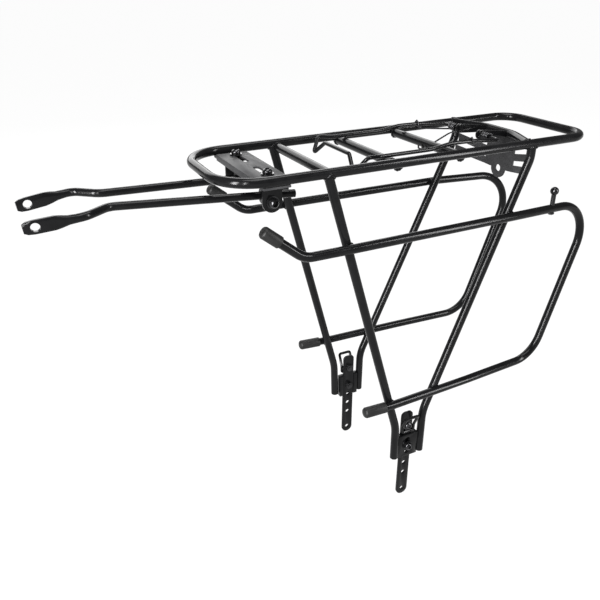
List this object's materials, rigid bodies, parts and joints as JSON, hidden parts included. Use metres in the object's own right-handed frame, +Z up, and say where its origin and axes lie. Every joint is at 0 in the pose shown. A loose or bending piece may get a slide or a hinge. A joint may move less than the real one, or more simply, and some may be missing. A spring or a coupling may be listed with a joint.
{
  "type": "bicycle rear luggage carrier",
  "caption": "Black rod-built rear luggage carrier for a bicycle with pannier side rails, a sprung wire clip on the deck, adjustable front stays and slotted foot straps.",
  "frame": {"origin": "centre of the overall box in X and Y, at the lowest point of the two foot straps in Z", "axes": "+X towards the rear of the bicycle, +Y towards the right side, +Z up; the deck is level in XY"},
  "size_m": [0.6372, 0.1832, 0.4579],
  "materials": {
    "black_powder_coat": "satin to gloss black powder coat",
    "black_coated_plate": "satin black powder coat on the stamped plate",
    "rubber_black": "matt black push-on caps",
    "black_zinc_steel": "dark zinc-plated bolts, nuts and washers",
    "spring_steel": "dark oiled spring wire"
  },
  "bodies": {
    "frame": {"ball_pin": "black_zinc_steel", "bowed_rear_rod": "black_powder_coat", "front_cross_rod": "black_powder_coat", "left_clip_lug": "black_powder_coat", "left_clip_spring": "spring_steel", "left_foot_bracket": "black_powder_coat", "left_front_leg": "black_powder_coat", "left_lower_end_cap": "rubber_black", "left_rear_leg": "black_powder_coat", "left_side_rail": "black_powder_coat", "left_upper_end_cap": "rubber_black", "middle_cross_rod": "black_powder_coat", "platform_loop": "black_powder_coat", "rear_light_bracket": "black_powder_coat", "right_clip_lug": "black_powder_coat", "right_clip_spring": "spring_steel", "right_foot_bracket": "black_powder_coat", "right_front_leg": "black_powder_coat", "right_lower_end_cap": "rubber_black", "right_rear_leg": "black_powder_coat", "right_side_rail": "black_powder_coat", "right_upper_end_cap": "rubber_black", "stay_plate": "black_coated_plate", "third_cross_rod": "black_powder_coat"},
    "clip": {"clip_wire": "black_powder_coat"},
    "left_bracket": {"left_stay_bracket": "black_powder_coat", "left_bracket_washer": "black_zinc_steel", "left_bracket_bolt": "black_zinc_steel", "left_bracket_nut": "black_zinc_steel"},
    "left_clamp": {"left_stay_clamp": "black_powder_coat", "left_clamp_washer": "black_zinc_steel", "left_clamp_nut": "black_zinc_steel"},
    "left_stay_rod": {"left_stay": "black_powder_coat"},
    "left_foot": {"left_foot_strap": "black_powder_coat", "left_hook_loop": "black_powder_coat", "left_hook_washer": "black_zinc_steel", "left_hook_bolt": "black_zinc_steel", "left_hook_nut": "black_zinc_steel", "left_strap_washer": "black_zinc_steel", "left_strap_bolt": "black_zinc_steel", "left_strap_nut": "black_zinc_steel"},
    "right_bracket": {"right_stay_bracket": "black_powder_coat", "right_bracket_washer": "black_zinc_steel", "right_bracket_bolt": "black_zinc_steel", "right_bracket_nut": "black_zinc_steel"},
    "right_clamp": {"right_stay_clamp": "black_powder_coat", "right_clamp_washer": "black_zinc_steel", "right_clamp_nut": "black_zinc_steel"},
    "right_stay_rod": {"right_stay": "black_powder_coat"},
    "right_foot": {"right_foot_strap": "black_powder_coat", "right_hook_loop": "black_powder_coat", "right_hook_washer": "black_zinc_steel", "right_hook_bolt": "black_zinc_steel", "right_hook_nut": "black_zinc_steel", "right_strap_washer": "black_zinc_steel", "right_strap_bolt": "black_zinc_steel", "right_strap_nut": "black_zinc_steel"}
  },
  "joints": [
    {"name": "clip_hinge", "type": "hinge", "parent": "frame", "child": "clip", "pos_m": [0.18014, 0, 0.45], "axis": [0, 1, 0], "range_deg": [0, 95], "stiffness_Nm_per_rad": 1.5, "springref_deg": -28.65, "deforming": ["left_clip_spring", "right_clip_spring"]},
    {"name": "left_bracket_slide", "type": "slide", "parent": "frame", "child": "left_bracket", "axis": [0, 1, 0], "range_m": [0, 0.015]},
    {"name": "left_clamp_pivot", "type": "hinge", "parent": "left_bracket", "child": "left_clamp", "pos_m": [-0.09485, -0.0492, 0.42039], "axis": [0, 1, 0], "range_deg": [-12, 8]},
    {"name": "left_stay_slide", "type": "slide", "parent": "left_clamp", "child": "left_stay_rod", "axis": [0.9957, -0.077, -0.052], "range_m": [-0.015, 0.05]},
    {"name": "left_strap_slide", "type": "slide", "parent": "frame", "child": "left_foot", "axis": [0, 0, 1], "range_m": [-0.002, 0.009]},
    {"name": "right_bracket_slide", "type": "slide", "parent": "frame", "child": "right_bracket", "axis": [0, -1, 0], "range_m": [0, 0.015]},
    {"name": "right_clamp_pivot", "type": "hinge", "parent": "right_bracket", "child": "right_clamp", "pos_m": [-0.09485, 0.0492, 0.42039], "axis": [0, 1, 0], "range_deg": [-12, 8]},
    {"name": "right_stay_slide", "type": "slide", "parent": "right_clamp", "child": "right_stay_rod", "axis": [0.9957, 0.077, -0.052], "range_m": [-0.015, 0.05]},
    {"name": "right_strap_slide", "type": "slide", "parent": "frame", "child": "right_foot", "axis": [0, 0, 1], "range_m": [-0.002, 0.009]}
  ]
}
